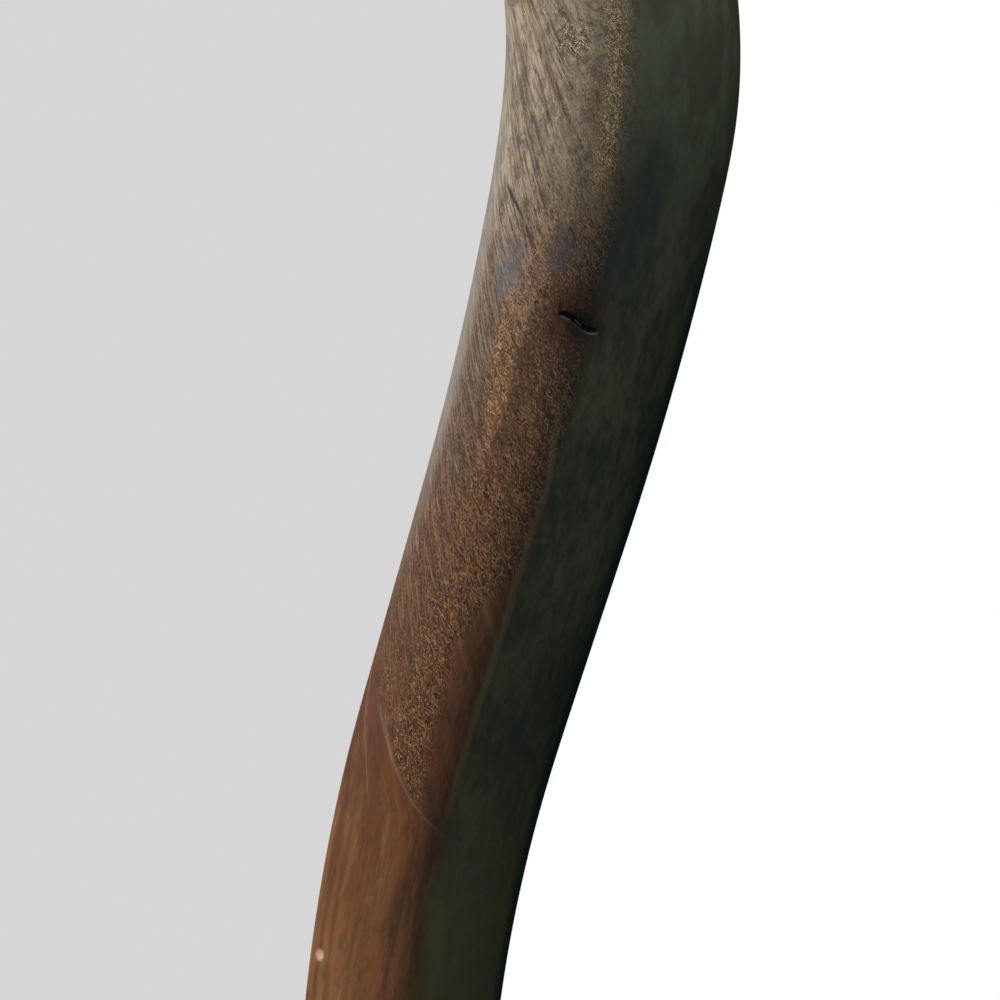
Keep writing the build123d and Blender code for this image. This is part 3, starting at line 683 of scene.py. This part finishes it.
    def knot(self):
        """Reddish halo, dark heart, the split painted black for the shade inside it with a thread of painted
        glint, and two fine cracks.
        """
        self.paint(self.spot(KNOT_ACROSS, KNOT_UP + 2 * MM, 13 * MM, 16 * MM, 1.0), KNOT_RED, 0.75)
        self.paint(self.spot(KNOT_ACROSS + 1 * MM, KNOT_UP, 6 * MM, 5 * MM, 1.0), SPLIT_BLACK, 0.75)
        depth = self.attribute("split", "Fac")
        # painted shade: the split goes black inside where it opens
        self.paint(self.step(depth, 0.1, 0.6), SPLIT_BLACK)
        # painted highlight: a broken pale blue glint along the split
        glint_breaks = self.step(self.noise(self.at, 700, 2), 0.40, 0.5)
        self.paint(self.product(self.step(depth, 0.80, 0.93), glint_breaks), SPLIT_GLINT, 0.8)
        hair_crack = self.total(self.off(self.up, HAIR_CRACK_UP),
                                self.product(self.off(self.across, HAIR_CRACK_ACROSS), 1.45))
        hair_crack = self.product(self.step(self.size(hair_crack), 1.3 * MM, 0.4 * MM),
                                  self.spot(HAIR_CRACK_ACROSS, HAIR_CRACK_UP, 5 * MM, 9 * MM))
        self.paint(hair_crack, INK, 0.9)
        branch = self.total(self.off(self.across, KNOT_ACROSS - 6 * MM),
                            self.product(self.off(self.up, KNOT_UP), 0.25))
        branch = self.product(self.step(self.size(branch), 0.6 * MM, 0.1 * MM),
                              self.spot(KNOT_ACROSS - 7.3 * MM, KNOT_UP + 3 * MM, 3 * MM, 3.5 * MM))
        self.paint(branch, SPLIT_BLACK, 0.8)

    def nick(self):
        # painted highlight: pinkish bright spots in the nick
        self.paint(self.spot(NICK_ACROSS, NICK_UP, 1.5 * MM, 2 * MM), NICK_HIGHLIGHT, 0.8)

    def pale_arc(self):
        line = self.product(self.step(self.size(self.arc), 1.0 * MM, 0.1 * MM), self.flank,
                            self.rise(0.150, 0.135), self.step(self.across, 5 * MM, 1 * MM),
                            self.step(self.across, -22 * MM, -2 * MM, 0.2, 0.36))
        self.paint(line, PALE_ARC)

    def edges(self):
        """A painted light olive line where the lit flank turns to the shaded front, a painted highlight on
        the pale rear rim and painted shade on the dark front rim.
        """
        # painted light: a thin lighter olive line where the light turns to shade
        terminator_offset = self.total(self.rise(0.05, 0.12, 0.0, 4 * MM), self.rise(0.22, 0.27, 0.0, -4 * MM),
                          self.waver(4 * MM))
        terminator_light = self.product(self.stripe(terminator_offset, 1.3 * MM), self.rise(0.10, 0.13), self.rise(0.262, 0.235))
        self.paint(terminator_light, OLIVE_FLECK_AND_TERMINATOR_LIGHT, 0.45)
        # painted highlight: a pale cool rim along the rear edge of the knee
        rim = self.product(self.swing(-0.86, -0.98), self.rise(0.16, 0.26), self.rise(0.35, 0.31, 0.5, 1.0))
        self.paint(rim, RIM_HIGHLIGHT, 0.5)
        # painted shade: a dark teal line along the front edge
        edge = self.product(self.swing(0.88, 0.98), self.rise(0.33, 0.29))
        self.paint(edge, EDGE_SHADE_TEAL, 0.9)

    def thigh_and_tenon(self):
        """The stain fades along the thigh, and the tenon inside the trunk is plain brown."""
        shoulder_up = FOOT_GAP + (len(limb.centres) - 1) * STATION_STEP
        plain = self.mix(self.step(self.streak, 0.40, 0.60), CALF_BROWN, TENON_BROWN)
        self.paint(self.step(self.total(self.up, self.waver(0.06)), 0.39, shoulder_up), plain)

    def surface(self):
        """Threads stand up, pits go in, fibres are faint ridges, and the shaved surface waves a little."""
        tangle = self.off(self.product(self.thread, 0.6), self.pit)
        bump = self.bump(self.product(tangle, self.field), 0.12 * MM, 0.45)
        bump = self.bump(self.product(self.streak, self.lined), 0.3 * MM, 0.5, bump)
        bump = self.bump(self.noise(self.at, (160, 160, 80), 4, 0.6), 0.6 * MM, 0.4, bump)
        roughness = self.total(self.product(self.noise(self.at, 160, 3), 0.2), 0.34,
                               self.product(self.pit, self.field, 0.2))
        return self.finish(self.colour, roughness, bump)


def leg_material():
    wood = LegWalnut()
    wood.base_stain()
    wood.broad_grain()
    wood.shade_tinted_front()
    wood.slate_clouds()
    wood.fibre_streaks()
    wood.open_pores()
    wood.planed_band()
    wood.knot()
    wood.nick()
    wood.pale_arc()
    wood.edges()
    wood.thigh_and_tenon()
    return wood.surface()


HOLE_PROBE = 15 * MM        # how far either side of its middle the pin hole is measured
HOLE_REACH = 32 * MM        # how far either side of its middle the cutter goes
HOLE_SIDES = 64


def cut_pin_hole(leg):
    """Opens the tapered hole for the leg's pin through the skin's tenon, as measured in the CAD leg."""
    mesh = nodes["leg"].data
    tree = BVHTree.FromPolygons([v.co for v in mesh.vertices], [p.vertices for p in mesh.polygons])
    pin_low, pin_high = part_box("pin_leg")
    centre = (pin_low + pin_high) / 2
    along = Vector(joint("pin_leg_draw")["axis"]).normalized()
    side = along.orthogonal().normalized()
    other = along.cross(side)

    def hole_radius(distance):
        return tree.ray_cast(centre + along * distance, side)[3]

    near_radius, far_radius = hole_radius(-HOLE_PROBE), hole_radius(HOLE_PROBE)
    taper = (far_radius - near_radius) / (2 * HOLE_PROBE)
    turns = [2 * math.pi * j / HOLE_SIDES for j in range(HOLE_SIDES)]
    bm = bmesh.new()
    rings = []
    for distance in (-HOLE_REACH, HOLE_REACH):
        radius = near_radius + taper * (distance + HOLE_PROBE)
        rings.append([bm.verts.new(centre + along * distance
                                   + (side * math.cos(t) + other * math.sin(t)) * radius) for t in turns])
    for j in range(HOLE_SIDES):
        k = (j + 1) % HOLE_SIDES
        bm.faces.new((rings[0][j], rings[0][k], rings[1][k], rings[1][j]))
    bm.faces.new(rings[0][::-1])
    bm.faces.new(rings[1])
    bmesh.ops.recalc_face_normals(bm, faces=bm.faces)
    cutter_mesh = bpy.data.meshes.new("pin_hole_cutter")
    bm.to_mesh(cutter_mesh)
    bm.free()
    cutter = new_object("pin_hole_cutter", cutter_mesh)
    hole = leg.modifiers.new("pin_hole", "BOOLEAN")
    hole.operation = "DIFFERENCE"
    hole.solver = "EXACT"
    hole.object = cutter
    cut = bpy.data.meshes.new_from_object(leg.evaluated_get(bpy.context.evaluated_depsgraph_get()))
    leg.modifiers.remove(hole)
    leg.data = cut
    bpy.data.objects.remove(cutter)


leg = make_leg()
cut_pin_hole(leg)
leg.data.materials.append(leg_material())
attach(leg, "leg")
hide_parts("leg")

# --- the other pieces' finishes ----------------------------------------------------------
def wood(name, deep, base, light, grain, pith=(0.0, 0.0), gloss=0.25, checks=False):
    """Stained, oiled or varnished timber: growth rings about its pith, fibres, pores and darker end grain."""
    sh = Shader(name, roughness=0.45, specular_ior_level=0.4, coat_weight=gloss, coat_roughness=0.25)
    coordinates = sh.node("TexCoord").outputs
    x, y, z = sh.split(coordinates["Object"])
    face = sh.split(coordinates["Normal"])
    order = {"X": (y, z, x), "Y": (z, x, y), "Z": (x, y, z)}[grain]
    at = sh.join(*order)
    from_pith = sh.vector("SUBTRACT", sh.join(order[0], order[1], 0.0), (pith[0], pith[1], 0.0))
    wobble = sh.product(sh.noise(at, (9, 9, 1.1), 2), 0.022)
    radius = sh.total(sh.vector("LENGTH", from_pith), wobble)
    ring = sh.noise(sh.join(radius, 0.0, sh.product(order[2], 0.012)), 230, 3, 0.62)
    colour = sh.ramp(ring, (0.32, deep), (0.5, base), (0.7, light))
    cloud = sh.noise(at, (11, 11, 2.2), 4, 0.6)
    colour = sh.mix(sh.step(cloud, 0.55, 0.35, 0.0, 0.55), colour, deep)
    fibre = sh.noise(at, (850, 850, 14), 4, 0.7)
    colour = sh.mix(sh.step(fibre, 0.48, 0.36, 0.0, 0.55), colour, deep)
    colour = sh.mix(sh.step(fibre, 0.53, 0.68, 0.0, 0.35), colour, light)
    pores = sh.step(sh.noise(at, (1100, 1100, 70), 2, 0.6), 0.42, 0.34)
    dark = tuple(0.35 * value for value in deep[:3]) + (1,)
    colour = sh.mix(sh.product(pores, 0.7), colour, dark)
    end = sh.step(sh.size(face["XYZ".index(grain)]), 0.75, 0.95)
    colour = sh.mix(sh.product(end, 0.5), colour, dark)
    bump = sh.bump(sh.product(pores, -1.0), 0.12 * MM, 0.4)
    bump = sh.bump(fibre, 0.15 * MM, 0.35, bump)
    bump = sh.bump(sh.noise(at, (28, 28, 6), 3), 1.2 * MM, 0.3, bump)
    if checks:
        split = sh.noise(at, (42, 42, 1.3), 3, 0.6)
        split = sh.step(sh.size(sh.off(split, 0.5)), 0.006, 0.001)
        split = sh.product(split, sh.step(sh.noise(at, (8, 8, 1.5), 2), 0.56, 0.60))
        colour = sh.mix(sh.product(split, 0.85), colour, dark)
        bump = sh.bump(sh.product(split, -1.0), 0.8 * MM, 0.7, bump)
    roughness = sh.total(sh.product(cloud, 0.3), 0.28, sh.product(sh.math("MAXIMUM", pores, end), 0.18))
    return sh.finish(colour, roughness, bump)


def metal(name):
    """Zinc plate: faint crystalline mottle and rubbed streaks."""
    sh = Shader(name, metallic=1.0, roughness=0.35)
    at = sh.node("TexCoord").outputs["Object"]
    mottle = sh.noise(at, 420, 4, 0.65)
    colour = sh.ramp(mottle, (0.3, (0.42, 0.43, 0.44, 1)), (0.7, (0.66, 0.66, 0.64, 1)))
    roughness = sh.total(sh.product(sh.noise(at, 900, 3), 0.25), 0.25)
    return sh.finish(colour, roughness, sh.bump(mottle, 0.05 * MM, 0.3))


def rubber(name):
    """Matt black moulded rubber with a dusty bloom."""
    sh = Shader(name, roughness=0.75, specular_ior_level=0.3)
    at = sh.node("TexCoord").outputs["Object"]
    bloom = sh.noise(at, 60, 4, 0.6)
    colour = sh.ramp(bloom, (0.35, (0.018, 0.018, 0.019, 1)), (0.75, (0.045, 0.044, 0.042, 1)))
    grain = sh.noise(at, 2600, 2)
    roughness = sh.total(sh.product(bloom, 0.2), 0.62)
    return sh.finish(colour, roughness, sh.bump(grain, 0.05 * MM, 0.4))


# The deep, the base and the light brown of each timber.
TRUNK_BROWNS = ((0.085, 0.042, 0.024, 1), (0.165, 0.084, 0.046, 1), (0.230, 0.130, 0.074, 1))
LIMB_BROWNS = ((0.050, 0.026, 0.017, 1), (0.125, 0.060, 0.034, 1), (0.210, 0.115, 0.062, 1))
PIN_BROWNS = ((0.200, 0.110, 0.055, 1), (0.330, 0.200, 0.108, 1), (0.430, 0.285, 0.165, 1))
SLAT_BROWNS = ((0.120, 0.065, 0.036, 1), (0.215, 0.125, 0.070, 1), (0.300, 0.185, 0.110, 1))
STAND_BROWNS = ((0.080, 0.042, 0.025, 1), (0.150, 0.080, 0.046, 1), (0.205, 0.118, 0.070, 1))

finishes = {
    "trunk": wood("trunk_walnut", *TRUNK_BROWNS, "Z", (0.012, -0.008), 0.3, checks=True),
    "arm": wood("arm_walnut", *LIMB_BROWNS, "Y", (1.2, 0.03), 0.35),
    "pin": wood("pin_hardwood", *PIN_BROWNS, "X", (0.03, 0.05), 0.1),
    "slat": wood("slat_ash", *SLAT_BROWNS, "X", (-0.25, 1.1), 0.3),
    "post": wood("post_walnut", *STAND_BROWNS, "Z", (0.3, -0.25), 0.25),
    "runner": wood("runner_walnut", *STAND_BROWNS, "Y", (-0.2, 0.1), 0.25),
    "beam": wood("beam_walnut", *STAND_BROWNS, "X", (0.2, 0.3), 0.25),
    "dowel": wood("dowel_hardwood", *PIN_BROWNS, "Y", (0.02, 0.02), 0.1),
    "steel": metal("zinc_steel"),
    "rubber": rubber("black_rubber"),
}
finish_of = {               # every piece that is not listed is a pin
    "trunk": "trunk", "arm_upper_right": "arm", "arm_upper_left": "arm", "arm_middle": "arm",
    "slat_upper": "slat", "slat_lower": "slat", "slat_stops": "dowel", "tenon_dowels": "dowel",
    "post_left": "post", "post_right": "post", "runner_left": "runner", "runner_right": "runner",
    "brace_left": "post", "brace_right": "post", "rear_beam": "beam", "top_rail": "beam",
    "rail_bolts": "steel", "rail_nuts": "steel", "rail_washers": "steel", "stand_screws": "steel",
    "stand_washers": "steel", "foot_screws": "steel", "rubber_feet": "rubber",
}
for name, obj in nodes.items():
    if name == "leg":
        continue
    kind = finish_of.get(name, "pin")
    obj.data.materials.clear()
    obj.data.materials.append(finishes[kind])

# --- floor -----------------------------------------------------------------------------
FLOOR_RADIUS, FLOOR_FADE = 1.45, 0.55
FLOOR_DROP = 0.5 * MM       # below the rubber feet


def make_floor():
    """A plain pale floor under the object that fades out into the backdrop."""
    bm = bmesh.new()
    bmesh.ops.create_circle(bm, cap_ends=True, radius=FLOOR_RADIUS, segments=96)
    mesh = bpy.data.meshes.new("floor")
    bm.to_mesh(mesh)
    bm.free()
    floor = new_object("floor", mesh)
    centre = (cad_low + cad_high) / 2
    floor.location = (centre.x, centre.y, cad_low.z - FLOOR_DROP)
    sh = Shader("pale_floor", roughness=0.8, specular_ior_level=0.1)
    at = sh.node("TexCoord").outputs["Object"]
    shade = sh.noise(at, 3, 3, 0.6)
    colour = sh.ramp(shade, (0.3, (0.40, 0.40, 0.40, 1)), (0.7, (0.43, 0.43, 0.43, 1)))
    away = sh.vector("LENGTH", at)
    sh.put(sh.principled.inputs["Alpha"], sh.step(away, FLOOR_RADIUS * 0.98, FLOOR_RADIUS - FLOOR_FADE))
    floor.data.materials.append(sh.finish(colour, 0.8))
    floor.visible_diffuse = False
    floor.visible_glossy = False
    return floor


floor = make_floor()

# --- camera ----------------------------------------------------------------------------
WINDOW = 324.8 * MM         # width of the view at the leg
DISTANCE = 1.6
VIEW_RISE = 213 * MM        # view centre above the sole
VIEW_BACK = 78.2 * MM       # view centre behind the front of the knee
SENSOR_WIDTH = 36           # millimetres, as the camera's own units are
camera_data = bpy.data.cameras.new("camera")
camera = new_object("camera", camera_data)
aim = Vector((0, leg_low.y + VIEW_BACK, leg_low.z + VIEW_RISE))
camera.location = aim + FLANK * DISTANCE
camera.rotation_mode = "QUATERNION"
camera.rotation_quaternion = (-FLANK).to_track_quat("-Z", "Y")
camera_data.sensor_width = SENSOR_WIDTH
camera_data.lens = SENSOR_WIDTH * DISTANCE / WINDOW
bpy.context.scene.camera = camera

# --- light -----------------------------------------------------------------------------
def area_light(name, toward, bearing, height, distance, size, power, colour, receivers=None, blockers=None):
    """A soft panel at a bearing from the viewer (degrees to the viewer's left) and a height angle."""
    turn, lift = math.radians(bearing), math.radians(height)
    flat = FLANK * math.cos(turn) + Vector((0, 1, 0)) * math.sin(turn)
    direction = flat * math.cos(lift) + Vector((0, 0, math.sin(lift)))
    data = bpy.data.lights.new(name, "AREA")
    data.shape = "RECTANGLE"
    data.size, data.size_y = size
    data.energy = power
    data.color = colour
    light = new_object(name, data)
    light.location = toward + direction * distance
    light.rotation_mode = "QUATERNION"
    light.rotation_quaternion = direction.to_track_quat("Z", "Y")
    light.visible_camera = False
    if receivers:
        light.light_linking.receiver_collection = receivers
    if blockers:
        light.light_linking.blocker_collection = blockers
    return light


leg_only = bpy.data.collections.new("leg_only")
leg_only.objects.link(leg)
others = bpy.data.collections.new("others")
for name, obj in nodes.items():
    if name != "leg":
        others.objects.link(obj)
others.objects.link(floor)

WARM_WHITE = (1, 0.98, 0.95)
middle = (cad_low + cad_high) / 2
above_knee = aim + Vector((0, -0.05, 0.2))

key = area_light("key_leg", aim, 84, 30, 2.0, (0.45, 0.6), 63, WARM_WHITE, leg_only, leg_only)
key.visible_glossy = False
sheen = area_light("sheen_leg", aim, 112, 30, 2.0, (0.5, 0.9), 4.5, (0.92, 0.98, 1), leg_only, leg_only)
sheen.visible_diffuse = False
area_light("top", Vector((0, -0.2, 1)), 20, 80, 2.6, (1.6, 1.6), 30, (1, 1, 1))
area_light("key_others", middle, 70, 35, 4.0, (1.6, 1.6), 190, WARM_WHITE, others)
area_light("front_others", middle, -75, 30, 4.0, (2.0, 2.0), 65, (0.96, 0.98, 1), others)
area_light("back", middle, 180, 35, 4.0, (2.0, 2.0), 140, (1, 0.99, 0.97))
area_light("fill_leg", aim, -174, 25, 2.5, (0.6, 1.0), 30, (1, 0.97, 0.93), leg_only, leg_only)
area_light("knee_top", above_knee, -35, 66, 0.7, (0.3, 0.3), 1.6, (0.86, 1, 0.97), leg_only, leg_only)

# --- world -----------------------------------------------------------------------------
ROOM_COLOUR = (0.072, 0.105, 0.112, 1)
BACKDROP_LEFT = srgb(214, 214, 214)
BACKDROP_RIGHT = (1, 1, 1, 1)
BACKDROP_ELSEWHERE = srgb(226, 226, 226)
BACKDROP_LEAN = 0.22        # how far the change from left to right leans over with height


def make_world():
    """Dim cool room light for the object; for the camera a plain backdrop, grey on the left to white on the
    right, whose soft change lies behind the leg."""
    world = bpy.data.worlds.new("studio")
    bpy.context.scene.world = world
    world.use_nodes = True
    sh = Nodes(world.node_tree)
    background = sh.tree.nodes["Background"]
    heading = sh.node("TexCoord").outputs["Generated"]
    x, y, z = sh.split(heading)
    behind = sh.step(x, -0.6, 0.5, 1.0, 0.12)
    above = sh.step(z, -0.6, 0.8, 0.6, 1.3)
    ahead = sh.step(y, 0.4, -1.0, 0.85, 1.7)
    level = sh.product(behind, above, ahead)
    room = sh.mix(1.0, sh.join(level, level, level), ROOM_COLOUR, "MULTIPLY")
    across = sh.math("DIVIDE", sh.product(y, -1.0), sh.size(x))
    slant = sh.math("DIVIDE", z, sh.size(x))
    offset = sh.off(across, sh.product(slant, BACKDROP_LEAN))
    backdrop = sh.mix(sh.step(offset, -0.008, 0.012), BACKDROP_LEFT, BACKDROP_RIGHT)
    aside = sh.math("MAXIMUM", sh.step(sh.size(z), 0.115, 0.18), sh.step(x, 0.985, 0.94))
    backdrop = sh.mix(aside, backdrop, BACKDROP_ELSEWHERE)
    seen = sh.node("LightPath").outputs["Is Camera Ray"]
    sh.put(background.inputs[0], sh.mix(seen, room, backdrop))
    background.inputs[1].default_value = 1.0


make_world()

bpy.context.scene.view_settings.view_transform = "Standard"
bpy.context.scene.view_settings.look = "None"
